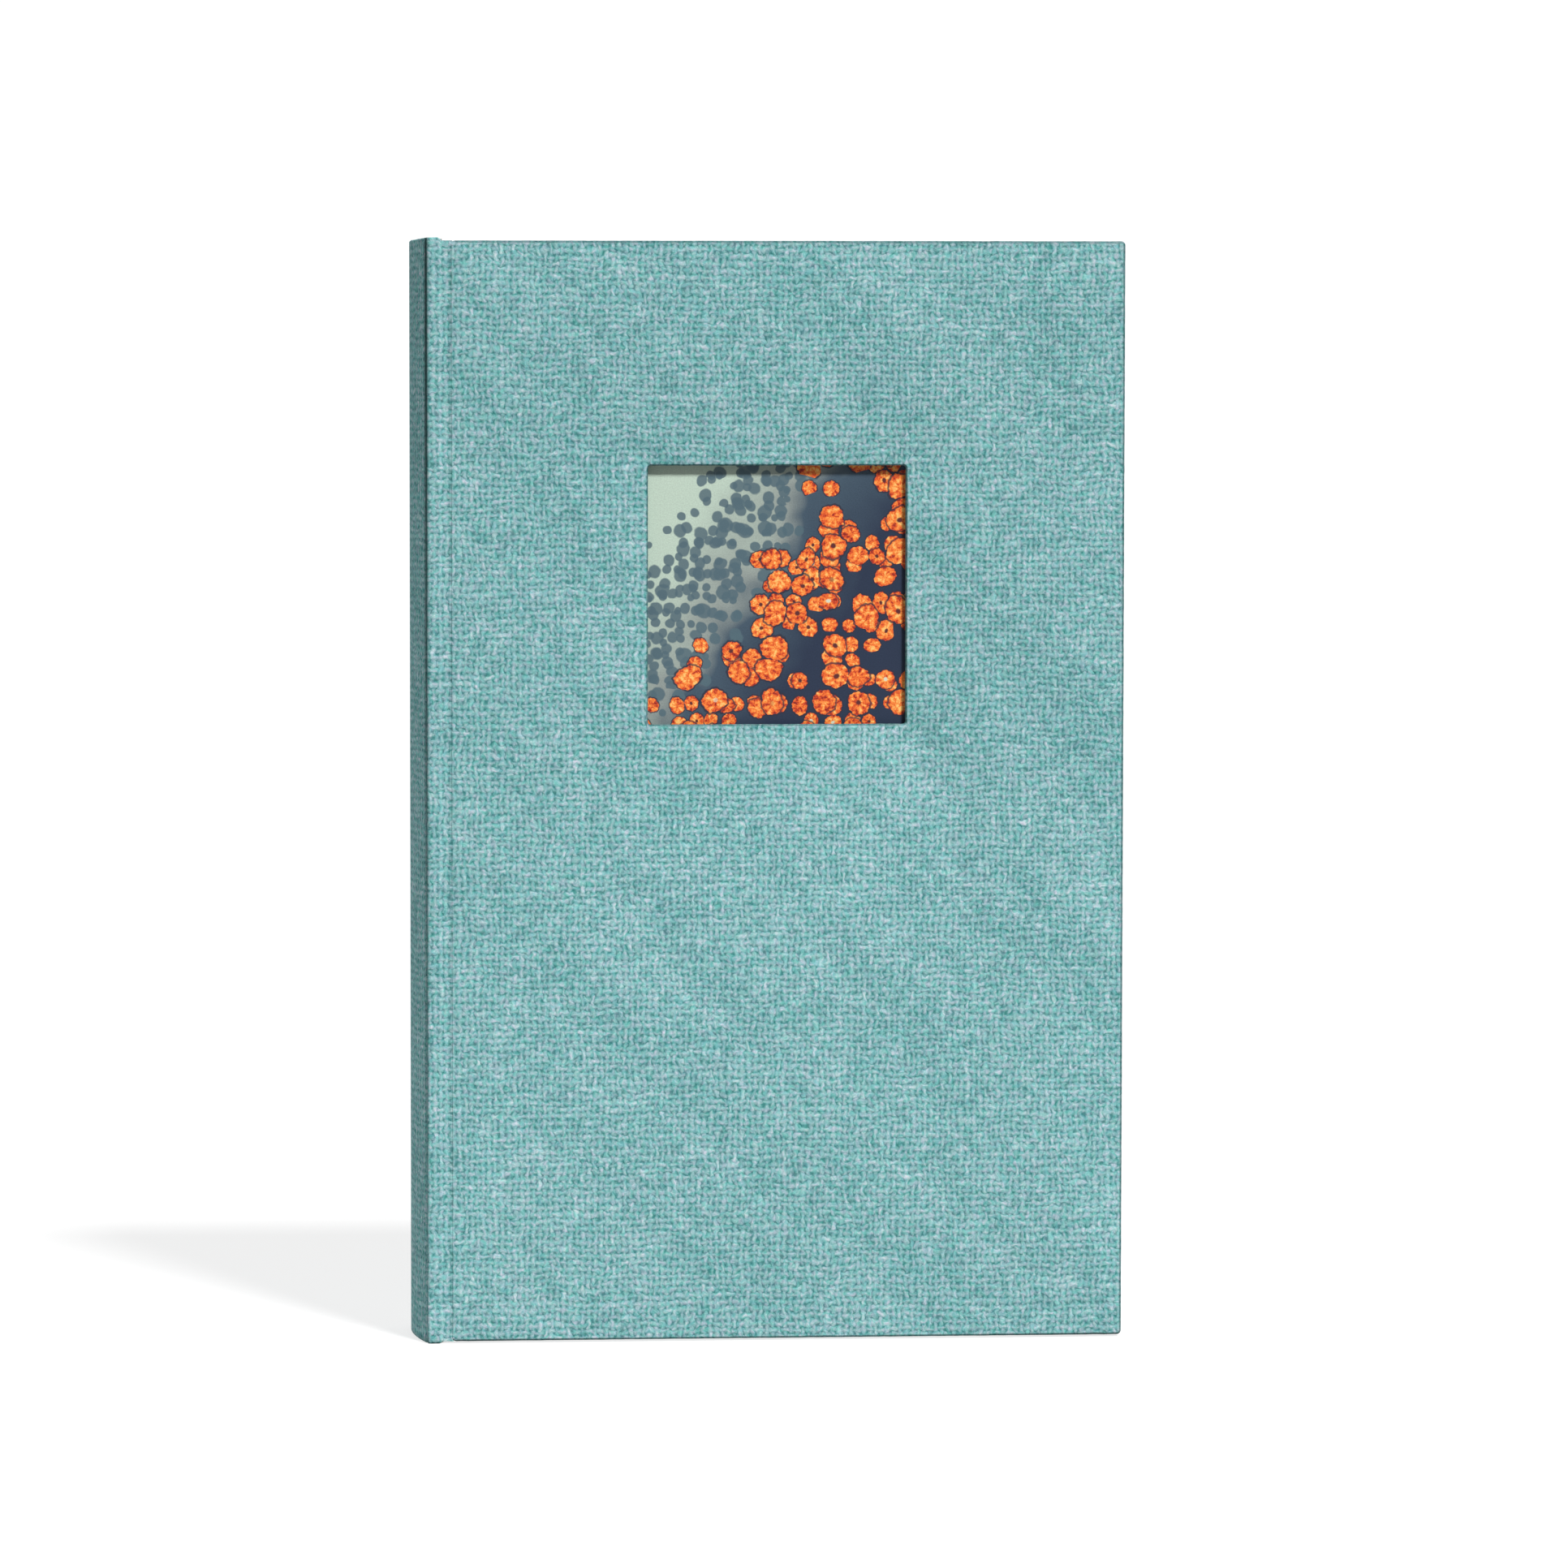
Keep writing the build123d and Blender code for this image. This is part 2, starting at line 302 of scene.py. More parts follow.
# The dark line along each crease is painted shade.
crease_reach = 0.0061        # over the cloth, from a shoulder's edge to the middle of its crease
crease_spread = 0.0012       # its dark line is full to 0.6 of this each way, and gone at 1.6 of it
crease_at_tail = 0.15        # share of that darkness left at the tail
crease_growth = 1.15         # over 1, so the line is fully dark from a little below the head
shoulder_dip = 0.00045       # how far the cloth sinks towards the joint at a shoulder's edge
dip_share = 0.3              # share of the shoulder that sinks
spine_rise = 0.0010          # spine above the boards' head
spine_low = 0.0007           # and below their tail
level_reach = 0.0018         # this near to the joint, both come level with the boards
level_share = 0.02           # share of the half height, at each end, that is moved for it
spine_groove = 0.00045       # the cloth is nipped in just behind each crease
groove_share = 0.06          # share of the half curve that the nip takes
spine_sag = 0.0006           # the card's ends are a little worn away at the middle of the curve
sag_share = 0.2              # share of the half height that is worn
shoulder_steps = 10
crease_steps = 6
curve_steps = 28
roll_turns = [math.radians(15 * step) for step in range(7)]     # a quarter turn over an edge


def clipped(value):
    """A number kept between 0 and 1."""
    return min(max(value, 0.0), 1.0)


def spine_curve():
    """The spine's outer face in plan: its centre's x and its radius."""
    low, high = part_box("spine_cloth")
    half = (high.y - low.y) / 2
    radius = (half ** 2 + spine_bulge ** 2) / (2 * spine_bulge)
    return low.x + radius, radius


def spine_plan(inset, reach, corner_round, dip, groove):
    """Plan of a face of the spine, from the front shoulder's edge round to the back one. It lies inset
    from the outer face on the curve, and its shoulders lie at reach from the middle."""
    shoulder_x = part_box("spine_cloth")[1].x
    centre, outer_radius = spine_curve()
    radius = outer_radius - inset
    corner = centre - math.sqrt(radius ** 2 - reach ** 2)
    start = math.asin(reach / radius) - corner_round / radius
    plan = []
    for step in range(shoulder_steps + 1):
        share = step / shoulder_steps
        sunk = dip * max(1 - share / dip_share, 0.0) ** 2
        plan.append((shoulder_x + (corner + corner_round - shoulder_x) * share, -reach + sunk))
    end_x = centre - radius * math.cos(start)
    end_y = -radius * math.sin(start)
    for step in range(1, crease_steps + 1):
        share = step / crease_steps
        first, control, last = (1 - share) ** 2, 2 * share * (1 - share), share ** 2
        plan.append((first * (corner + corner_round) + control * corner + last * end_x,
                     -(first + control) * reach + last * end_y))
    for step in range(1, curve_steps + 1):
        share = (step / curve_steps) ** 1.6    # closer together near the crease
        angle = start * (1 - share)
        pinched = radius - groove * math.sin(min(share / groove_share, 1.0) * math.pi)
        plan.append((centre - pinched * math.cos(angle), -pinched * math.sin(angle)))
    return plan + [(x, -y) for x, y in reversed(plan[:-1])]


def spine_rows():
    """The way over the skin from the tail's fold to the head's, then back along its glued side: which
    face a row is measured from, how far in, its height, and its height on the flat cloth."""
    low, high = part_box("spine_cloth")
    edge = spine_edge_round
    quarter = edge * math.pi / 2
    bend = [(edge * (1 - math.sin(turn)), edge * (1 - math.cos(turn)), edge * turn) for turn in roll_turns]
    head = [("outer", way_in, high.z - down, high.z - edge + reach) for down, way_in, reach in bend]
    over = high.z - edge + quarter + fold_flat + quarter
    head += [("inner", way_in, high.z - down, over - reach) for down, way_in, reach in reversed(bend)]
    head += [("inner", 0.0, high.z - turn_in, over + turn_in)]
    foot = [(face, way_in, low.z + high.z - height, low.z + high.z - place)
            for face, way_in, height, place in reversed(head)]
    steps = 60
    middle = []
    for step in range(1, steps):
        height = low.z + edge + (high.z - low.z - 2 * edge) * step / steps
        middle.append(("outer", 0.0, height, height))
    glued = [("inner", cloth, high.z - turn_in, high.z), ("inner", cloth, high.z - cloth, high.z),
             ("outer", cloth, high.z - cloth, high.z), ("outer", cloth, low.z + cloth, low.z),
             ("inner", cloth, low.z + cloth, low.z), ("inner", cloth, low.z + turn_in, low.z)]
    return foot + middle + head + glued


def make_spine_wrap():
    low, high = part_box("spine_cloth")
    half = (high.y - low.y) / 2
    middle_z = (low.z + high.z) / 2
    flap_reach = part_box("flyleaf_margins")[1].y - flap_clearance
    outer = spine_plan(0.0, half, crease_round, shoulder_dip, spine_groove)
    inner = spine_plan(spine_flap_inset, flap_reach, flap_crease_round, 0.0, 0.0)
    along = [0.0]
    for (x, y), (next_x, next_y) in zip(outer, outer[1:]):
        along.append(along[-1] + math.hypot(next_x - x, next_y - y))
    width = along[-1]
    rows = spine_rows()
    points = []
    places = []
    for face, way_in, height, place in rows:
        nearness = abs(height - middle_z) / (high.z - middle_z)
        worn = spine_sag * max(nearness - (1 - sag_share), 0.0) / sag_share
        beyond_boards = spine_rise if height > middle_z else spine_low
        beyond_boards *= max(nearness - (1 - level_share), 0.0) / level_share
        grown = clipped((height - low.z) / (high.z - low.z) * crease_growth)
        fading = crease_at_tail + (1 - crease_at_tail) * grown
        for outside, inside, reach in zip(outer, inner, along):
            across = (Vector(inside) - Vector(outside)).normalized() * way_in
            if face == "outer":
                x, y = Vector(outside) + across
            else:
                x, y = Vector(inside) - across
            sag = worn * (1 - (outside[1] / half) ** 2)
            drop = beyond_boards * max((outside[0] - high.x + level_reach) / level_reach, 0.0) ** 2
            wobble = cloth_uneven * noise.noise(Vector((outside[1], outside[0], height)) * cloth_lumps)
            points.append((x, y, height - math.copysign(sag + drop, height - middle_z) + wobble))
            # Painted shade: the place's third value darkens the cloth along each crease, less towards the
            # tail.
            behind = abs(min(reach, width - reach) - crease_reach)
            places.append((high.x - reach, place, fading * clipped(1.6 - behind / crease_spread)))
    count = len(outer)
    faces = lofted(len(rows), count, True, False)
    faces.append([row * count for row in range(len(rows))])
    faces.append([row * count + count - 1 for row in range(len(rows))])
    piece = new_piece("spine_wrap", points, faces, book_cloth, places)
    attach(piece, "binding")
    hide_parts("spine_cloth")


make_spine_wrap()


# --- Covers: cloth over grey board -------------------------------------------------------------------
# Each cover's cloth is pulled round the board's edges, mitred at the corners and glued down inside. The
# front cloth is also slit across the window, drawn through it and glued on the board's back. Painted
# shade darkens the cloth where it rolls over the board's edges, save at the hinge side, and where it
# rolls into the window and down its walls.
cover_edge_round = 0.0009
cover_corner_round = 0.0014
sharpest_corner = 0.00002
hinge_round = 0.0015         # the cloth rolls over the board's edge into the joint
hinge_sink = 0.00045
inner_edge_round = 0.0004
inner_hinge_round = 0.0003
inner_ring = 0.004           # ring of points on the turn-in, to keep its faces even
face_rings = (0.09, 0.06, 0.03)    # rings of points on a face with no window, from its edge
painted_edge_shade = 0.62             # painted shade on the cloth rolled over an edge and into the window
ring_lumps = 300             # the unevenness changes this fast with depth
cover_lumps = 9.0            # and differs between the two covers
print_overlap = 0.005        # print hidden behind the board on each side
window_edge_round = 0.0006
window_corner_round = 0.001
window_wrap_depth = 0.0027
window_flange = 0.006
points_across = 110
points_up = 170
corner_steps = 5


def upright_ring(left, right, foot, head, corner):
    """Points round an upright rectangle with rounded corners, each with its way outward."""
    corner = max(corner, sharpest_corner)
    sides = (((left + corner, foot), (right - corner, foot), (0, -1), points_across),
             ((right, foot + corner), (right, head - corner), (1, 0), points_up),
             ((right - corner, head), (left + corner, head), (0, 1), points_across),
             ((left, head - corner), (left, foot + corner), (-1, 0), points_up))
    ring = []
    for start, end, (out_x, out_z), steps in sides:
        for step in range(steps):
            share = step / steps
            ring.append((start[0] + (end[0] - start[0]) * share, start[1] + (end[1] - start[1]) * share,
                         out_x, out_z))
        middle_x = end[0] - out_x * corner
        middle_z = end[1] - out_z * corner
        for step in range(corner_steps):
            turn = math.radians(90 / corner_steps * step)
            way_x = out_x * math.cos(turn) - out_z * math.sin(turn)
            way_z = out_z * math.cos(turn) + out_x * math.sin(turn)
            ring.append((middle_x + way_x * corner, middle_z + way_z * corner, way_x, way_z))
    return ring


def make_cover_wrap(side, cloth_node, name, body, window_node=None):
    """side is -1 for the front cover and 1 for the back. The cloth's rings follow one another from the
    window or the face's middle, over the edge, round inside, and back along the glued side."""
    low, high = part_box(cloth_node)
    face_y = low.y if side < 0 else high.y
    thick = high.y - low.y
    edge = cover_edge_round
    rows = []

    def lay(inset, depth, reach, hinge_inset=None, hinge_depth=None):
        """One ring of the cloth: how far in from the cover's edge and face, and how far its cloth runs
        past the face's flat edge. The hinge side can differ."""
        hinge_inset = inset if hinge_inset is None else hinge_inset
        hinge_depth = depth if hinge_depth is None else hinge_depth
        ring = upright_ring(low.x + hinge_inset, high.x - inset, low.z + inset, high.z - inset,
                            cover_corner_round - inset)
        # Painted shade on the rings that roll over the board's edge.
        dark = painted_edge_shade if 0 < reach < 2 * edge else 0.0
        rows.append((ring, depth, hinge_depth, reach - edge + inset, dark))

    if window_node:
        window_low, window_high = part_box(window_node)
        centre_x = (window_low.x + window_high.x) / 2
        centre_z = (window_low.z + window_high.z) / 2
        opening = (window_high.x - window_low.x) / 2 - print_overlap
        wall = window_wrap_depth
        rim = window_edge_round

        def lay_window(away, depth, reach):
            """One ring round the window: away from its opening, and below the face."""
            half = opening + away
            corner = window_corner_round + min(away, window_corner_round)
            ring = upright_ring(centre_x - half, centre_x + half, centre_z - half, centre_z + half, corner)
            # Painted shade on the rings that roll into the window and run down its wall.
            rows.append((ring, depth, depth, rim + reach - away, painted_edge_shade if reach < 0 else 0.0))

        # At the wall's foot the cloth bends outward onto the board's back: away, up, and over the cloth.
        foot_bend = ((0.0005, 0.0, 0.0005), (0.0003, 0.00001, 0.0), (0.0001, 0.0001, 0.0),
                     (0.0, 0.0003, -0.0003))
        lay_window(window_flange, wall, -(wall + window_flange))
        for away, lift, past in foot_bend:
            lay_window(away, wall - lift, -(wall + past))
        for turn in reversed(roll_turns):
            lay_window(rim * (1 - math.sin(turn)), rim * (1 - math.cos(turn)), -rim * turn)
    else:
        for inset in face_rings:
            lay(inset, 0.0, edge - inset)

    for turn in roll_turns:
        over, down = 1 - math.sin(turn), 1 - math.cos(turn)
        lay(edge * over, edge * down, edge * turn, hinge_round * over, hinge_sink * down)
    far = edge * math.pi / 2 + thick - edge
    lay(0.0, thick - inner_edge_round, far - inner_edge_round)
    for degrees in (22.5, 45, 67.5, 90):
        over, down = 1 - math.cos(math.radians(degrees)), 1 - math.sin(math.radians(degrees))
        lay(inner_edge_round * over, thick - inner_edge_round * down, far, inner_hinge_round * over)
    lay(inner_ring, thick, far + inner_ring, cloth)
    lay(turn_in, thick, far + turn_in, cloth)

    lay(turn_in, thick - cloth, far + turn_in, cloth)
    lay(cloth, thick - cloth, far, cloth)
    lay(cloth, cloth, 0.0, cloth, hinge_sink + cloth)
    if window_node:
        lay_window(cloth, cloth, 0.0)
        lay_window(cloth, wall - cloth, -wall)
        lay_window(window_flange, wall - cloth, -(wall + window_flange))
    else:
        lay(face_rings[-1], cloth, -face_rings[-1])
        lay(face_rings[0], cloth, -face_rings[0])

    points = []
    places = []
    for ring, depth, hinge_depth, beyond, dark in rows:
        for x, z, out_x, out_z in ring:
            sunk = depth + (hinge_depth - depth) * max(-out_x, 0.0) ** 2
            lump = Vector((x * cloth_lumps, z * cloth_lumps, depth * ring_lumps + cover_lumps * side))
            wobble = cloth_uneven * noise.noise(lump)
            points.append((x + out_x * wobble, face_y - side * sunk, z + out_z * wobble))
            # The painted shade is left off the hinge side.
            at_hinge = max(-out_x, 0.0) if beyond >= 0 else 0.0
            places.append((x + out_x * beyond, z + out_z * beyond, dark * (1 - at_hinge)))
    count = len(rows[0][0])
    faces = lofted(len(rows), count, bool(window_node), True)
    if not window_node:
        faces.append(list(range(count)))
        faces.append(list(range(len(points) - count, len(points))))
    piece = new_piece(name, points, faces, book_cloth, places)
    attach(piece, body)
    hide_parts(cloth_node)


make_cover_wrap(-1, "front_cover_cloth", "front_cover_wrap", "front_cover",
                "window_print")
make_cover_wrap(1, "back_cover_cloth", "back_cover_wrap", "back_cover")


# --- Joints: the cloth between a shoulder and its board -----------------------------------------------
# Here the book cloth has nothing behind it but the fold at each end, so it sinks into a shallow groove.
# It is the cover's hinge.
joint_sink = 0.00075
joint_tuck = 0.00012         # the strip's edges lie this much under its neighbours'
joint_tuck_steps = 2
joint_fold = 0.0011          # thickness where the cloth is turned in
joint_steps = 16
joint_rows = 120


def thin_sheet_faces(across, up):
    """Faces of a thin upright sheet: its two skins, each of rows from foot to head, and its rim."""
    width = across + 1
    skin = width * (up + 1)
    faces = []
    for row in range(up):
        for step in range(across):
            first = row * width + step
            quad = (first, first + 1, first + 1 + width, first + width)
            faces.append(quad)
            faces.append([point + skin for point in reversed(quad)])
    rim = list(range(width)) + [row * width + across for row in range(1, up + 1)]
    rim += [up * width + step for step in range(across - 1, -1, -1)]
    rim += [row * width for row in range(up - 1, 0, -1)]
    for here, beyond in zip(rim, rim[1:] + rim[:1]):
        faces.append((here, beyond, beyond + skin, here + skin))
    return faces


def make_joint_wrap(side, node, name):
    low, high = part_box(node)
    face_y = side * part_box("spine_cloth")[1].y
    points = []
    places = []
    for skin in (0, 1):
        for row in range(joint_rows + 1):
            height = low.z + (high.z - low.z) * row / joint_rows
            thickness = joint_fold if min(height - low.z, high.z - height) < turn_in else cloth
            for step in range(joint_steps + 1):
                share = (step - joint_tuck_steps) / (joint_steps - 2 * joint_tuck_steps)
                x = low.x + (high.x - low.x) * share
                sunk = shoulder_dip + (joint_sink - shoulder_dip) * max(math.sin(share * math.pi), 0.0)
                if share < 0 or share > 1:
                    sunk = shoulder_dip + joint_tuck
                points.append((x, face_y - side * (sunk + skin * thickness), height))
                places.append((x, height))
    piece = new_piece(name, points, thin_sheet_faces(joint_steps, joint_rows), book_cloth, places)
    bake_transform(piece)
    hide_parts(node)


make_joint_wrap(-1, "front_joint_cloth", "front_joint_wrap")
make_joint_wrap(1, "back_joint_cloth", "back_joint_wrap")


# --- Boards: grey board, hidden under the cloth ---------------------------------------------------------
# Boards, spine card and shoulders are pressed grey board with coarse recycled fibres and a few dark specks.
def make_grey_board():
    material, wire, shader = new_finish("grey_board", {"Specular IOR Level": 0.2})
    place = wire.node("TexCoord", output=3)
    fibres = wire.clouds(place, 1400.0, 4.0)
    specks = wire.clouds(place, 2600.0, 1.0)
    base = fibres.colour([(0.3, (0.20, 0.185, 0.165)), (0.7, (0.30, 0.285, 0.255))])
    specks.step(0.68, 0.74).between(base, (0.07, 0.06, 0.055, 1)).to(shader, "Base Color")
    (fibres * 0.1 + 0.85).to(shader, "Roughness")
    fibres.raise_surface(shader, 0.00008)
    return material


def finish_nodes(material, *nodes):
    """Gives CAD pieces their finish."""
    for node in nodes:
        for slot in bpy.data.objects[node].material_slots:
            slot.material = material


finish_nodes(make_grey_board(), "spine_card", "front_shoulder_strip", "back_shoulder_strip",
             "front_window_board", "front_backing_board", "back_board", "front_liner", "back_liner")


# --- Print in the window --------------------------------------------------------------------------------
# A generic picture of round orange blossoms over deep blue and pale sage, printed on smooth card. It
# lies behind the window board, with soft round shadows between the flowers and the ground.
def make_print():
    """The picture, worked out in millimetres from the print's lower left corner."""
    blossom_radius = 0.33        # in pitches of the grid that a blossom stands on
    heart_radius = 0.075
    outline = 0.060
    material, wire, shader = new_finish("print", {"Specular IOR Level": 0.4})
    low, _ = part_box("window_print")
    x, _, z = wire.node("TexCoord", output=3).split()
    x = (x - low.x) * 1000
    z = (z - low.z) * 1000
    flat = wire.joined(x, z)
    bend_x, bend_z, _ = wire.clouds(flat, 0.055, 2.0, output=1).split()
    fine = wire.clouds(flat, 0.55, 3.0)
    grain = wire.clouds(flat, 2.2, 2.0)

    def rank(place_x, place_z):
        """How far a place lies towards the foot and fore-edge: 0 where the blossoms begin."""
        return place_x * 0.0086 - place_z * 0.0059 - 0.01

    lie = rank(x, z) + (bend_x - 0.5) * 0.30
    picture = (lie + 0.62).colour([
        (0.0, (0.526, 0.645, 0.535)),
        (0.36, (0.476, 0.590, 0.495)),
        (0.60, (0.270, 0.310, 0.290)),
        (0.70, (0.050, 0.084, 0.120)),
        (0.95, (0.018, 0.030, 0.062))])
    picture = wire.tint(picture, grain.colour([(0.3, (0.90, 0.90, 0.90)), (0.7, (1.10, 1.10, 1.10))]))

    def scattered(pitch, offset, randomness):
        """Discs on a loose grid: distance from the centre in pitches, way round, the centre's rank, and
        three numbers from 0 to 1 that are each disc's own."""
        spot_x = x * (1 / pitch) + (bend_x - 0.5) * 0.6 + offset
        spot_z = z * (1 / pitch) + (bend_z - 0.5) * 0.6 + offset * 1.7
        away = wire.node("TexVoronoi", {"voronoi_dimensions": "2D"},
                         {"Vector": wire.joined(spot_x, spot_z), "Scale": 1.0, "Randomness": randomness})
        first, second, third = away.also(1).split()
        middle_x, middle_z, _ = away.also(2).split()
        turn = (spot_z - middle_z).maths("ARCTAN2", spot_x - middle_x)
        standing = rank((middle_x - offset) * pitch, (middle_z - offset * 1.7) * pitch)
        return away, turn, standing, first, second, third

    # Shadow discs, each grid with its pitch and offset: most where the pale ground turns dark.
    for pitch, offset in ((5.6, 3.3), (6.9, 17.1), (4.7, 41.9)):
        away, _, standing, first, second, _ = scattered(pitch, offset, 0.7)
        radius = first * 0.13 + 0.27 + (fine - 0.5) * 0.10
        chance = 1.0 - (standing + 0.13).maths("ABSOLUTE") * 3.6 - second * 0.72
        shadow = (radius - away).step(-0.03, 0.05) * chance.step(0.12, 0.14)
        picture = (shadow * 0.90).between(picture, (0.075, 0.130, 0.160, 1))

    # Blossoms, each grid with the share of its places that hold one: a dark outline, then the petals.
    for pitch, offset, share in ((6.6, 53.1, 0.50), (8.4, 29.3, 0.55), (10.3, 7.7, 0.64)):
        away, turn, standing, first, second, third = scattered(pitch, offset, 0.55)
        lobes = (turn * 7.0 + third * 30.0).maths("SINE")
        ruffle = (turn * 15.0 + second * 30.0).maths("SINE")
        radius = first * 0.09 + blossom_radius + lobes * 0.012 + ruffle * 0.009 + (fine - 0.5) * 0.07
        chance = (standing * 5.0 + 0.25).limited() * share - second
        there = chance.step(0.0, 0.0001)
        hidden = (radius + outline - away).step(-0.015, 0.02) * there
        picture = (hidden * 0.85).between(picture, (0.022, 0.022, 0.040, 1))
        flower = (radius - away).step(-0.008, 0.010) * there
        rim = (away * (1 / 0.40)).maths("POWER", 3.0)
        fold = (turn * 8.0 + away * 7.0 + third * 20.0).maths("SINE")
        glow = fold * 0.13 + (fine - 0.5) * 2.4 + (grain - 0.5) * 0.7 - rim * 0.30 + first * 0.30 + 0.47
        petals = glow.colour([
            (0.02, (0.24, 0.016, 0.012)),
            (0.25, (0.62, 0.060, 0.016)),
            (0.50, (0.84, 0.160, 0.026)),
            (0.78, (0.93, 0.300, 0.055)),
            (1.0, (0.98, 0.540, 0.160))])
        heart = (heart_radius - away).step(-0.03, 0.02)
        petals = (heart * (third - 0.72).step(0.0, 0.02)).between(petals, (0.10, 0.020, 0.022, 1))
        petals = (heart * (0.12 - third).step(0.0, 0.02)).between(petals, (0.66, 0.66, 0.50, 1))
        picture = flower.between(picture, petals)

    picture.to(shader, "Base Color")
    (grain * 0.12 + 0.40).to(shader, "Roughness")
    grain.raise_surface(shader, 0.00001)
    return material


finish_nodes(make_print(), "window_print")


# --- Book block: bound margins, guards and lining ------------------------------------------------------
# The leaves' bound margins and the card guards between them are glued up at the back, rounded, and lined
# with crash, an open starched muslin, under a strip of strong paper.
def make_leaf_card(name, light, dark, fleck):
    """Uncoated card: soft mottling, fibres that lie mostly upright, and a few specks in its pulp."""
    material, wire, shader = new_finish(name, {"Specular IOR Level": 0.25})
    place = wire.node("TexCoord", output=3)
    x, y, z = place.split()
    mottle = wire.clouds(place, 130.0, 3.0)
    fibre = wire.clouds(wire.joined(x, y, z * 0.45), 2300.0, 3.0)
    specks = wire.clouds(place, 1500.0, 1.0)
    base = (mottle * 0.6 + fibre * 0.4).colour([(0.35, dark), (0.65, light)])
    (specks.step(0.73, 0.76) * 0.5).between(base, (*fleck, 1)).to(shader, "Base Color")
    (fibre * 0.12 + 0.80).to(shader, "Roughness")
    (fibre * 0.7 + mottle * 0.3).raise_surface(shader, 0.00003)
    return material


leaf_card = make_leaf_card("leaf_card", (0.80, 0.755, 0.655), (0.735, 0.685, 0.58), (0.40, 0.34, 0.26))
endpaper = make_leaf_card("endpaper", (0.82, 0.80, 0.74), (0.77, 0.745, 0.68), (0.50, 0.46, 0.38))
finish_nodes(leaf_card, "guard_strips", "leaf_margins")
finish_nodes(endpaper, "flyleaf_margins", "front_pastedown", "back_pastedown")


def make_lining_crash():
    thread_pitch_across = 1.1    # mm
    thread_pitch_up = 1.2
    material, wire, shader = new_finish("lining_crash", {"Specular IOR Level": 0.15})
    place = wire.node("TexCoord", output=3)
    _, y, z = place.split()
    drift = (wire.clouds(place, 160.0, 2.0) - 0.5) * 1.2
    across = ((y * 1000 * (1 / thread_pitch_across) + drift).maths("FRACT") * math.pi).maths("SINE")
    up = ((z * 1000 * (1 / thread_pitch_up) + drift).maths("FRACT") * math.pi).maths("SINE")
    threads = across.maths("POWER", 3.0).maths("MAXIMUM", up.maths("POWER", 3.0))
    fibre = wire.clouds(place, 2500.0, 3.0)
    base = (threads * 0.7 + fibre * 0.3).colour([(0.15, (0.47, 0.41, 0.31)), (0.8, (0.78, 0.75, 0.67))])
    base.to(shader, "Base Color")
    (threads * -0.1 + 0.92).to(shader, "Roughness")
    (threads * 0.8 + fibre * 0.2).raise_surface(shader, 0.0002)
    return material


finish_nodes(make_lining_crash(), "spine_lining")


# --- Headband and tailband --------------------------------------------------------------------------------
# A cord core wound with two colours of thread, sold as a tape and glued on the block's back edge, so that
# only its round bead shows at the head and tail.
band_core = 0.0011
band_wind = 0.0009           # one turn of thread
band_setback = 0.0019        # the bead's middle, in from the block's rounded back
band_end_gap = 0.0002
bead_depth = 1.25            # the bead is deeper than its core, and lower
bead_height = 0.86
bead_between = 0.84          # its size between two turns of thread, in shares of the core
bead_rib = 0.13              # and how much a turn adds
band_steps = 420
band_end_steps = 6           # its ends are rounded off over this many
bead_sides = 14


def make_band_thread():
    material, wire, shader = new_finish("band_thread", {"Sheen Weight": 0.1, "Specular IOR Level": 0.35})
    along, _, _ = wire.node("Attribute", {"attribute_name": "cloth_place"}, output=1).split()
    turn = along * (0.5 / band_wind)
    stripe = (turn.maths("FRACT") - 0.5).maths("ABSOLUTE").step(0.235, 0.265)
    twist = wire.clouds(wire.node("TexCoord", output=3), 3000.0, 2.0)
    dyed = stripe.between((0.76, 0.72, 0.62, 1), (0.10, 0.33, 0.34, 1))
    shades = wire.tint(dyed, twist.colour([(0.3, (0.78, 0.78, 0.78)), (0.7, (1.12, 1.12, 1.12))]))
    shades.to(shader, "Base Color")
    (twist * 0.2 + 0.55).to(shader, "Roughness")
    twist.raise_surface(shader, 0.00006)
    return material


band_thread = make_band_thread()


def make_band(name, node):
    low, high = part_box(node)
    centre, _ = spine_curve()
    radius = centre - low.x - band_setback
    reach = math.asin((high.y - band_end_gap) / (centre - low.x))
    middle_z = (low.z + high.z) / 2
    points = []
    places = []
    for step in range(band_steps + 1):
        angle = reach * (2 * step / band_steps - 1)
        along = radius * angle
        rib = abs(math.sin(along / band_wind * math.pi))
        round_end = min(1.0, math.sqrt(min(step, band_steps - step) / band_end_steps + 0.02))
        bead = band_core * (bead_between + bead_rib * rib) * round_end
        for part in range(bead_sides):
            turn = 2 * math.pi * part / bead_sides
            out = radius + bead_depth * bead * math.cos(turn)
            points.append((centre - out * math.cos(angle), out * math.sin(angle),
                           middle_z + bead_height * bead * math.sin(turn)))
            places.append((along, turn * band_core))
    faces = lofted(band_steps + 1, bead_sides, False, True)
    faces.append(list(range(bead_sides)))
    faces.append(list(range(band_steps * bead_sides, (band_steps + 1) * bead_sides)))
    piece = new_piece(name, points, faces, band_thread, places)
    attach(piece, "binding")
    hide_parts(node)


make_band("headband_bead", "headband")
make_band("tailband_bead", "tailband")


# --- Leaves: card, each with its interleaf ----------------------------------------------------------------
# Each leaf is a sheet of ivory card, creased at its guard, with a sheet of glassine over its face to keep
# what is mounted there from rubbing. Handled card is never quite flat, so each one waves a little.
leaf_count = 16
leaf_wave = 0.00030
leaf_wave_limit = 1.3        # no lump is more than this many waves high
leaf_long_lumps = 6.0        # lumps to the metre
leaf_short_lumps = 19.0
leaf_corner = 0.00024        # the free corners are cut back by this much
leaf_steps = 34
leaf_rows = 48


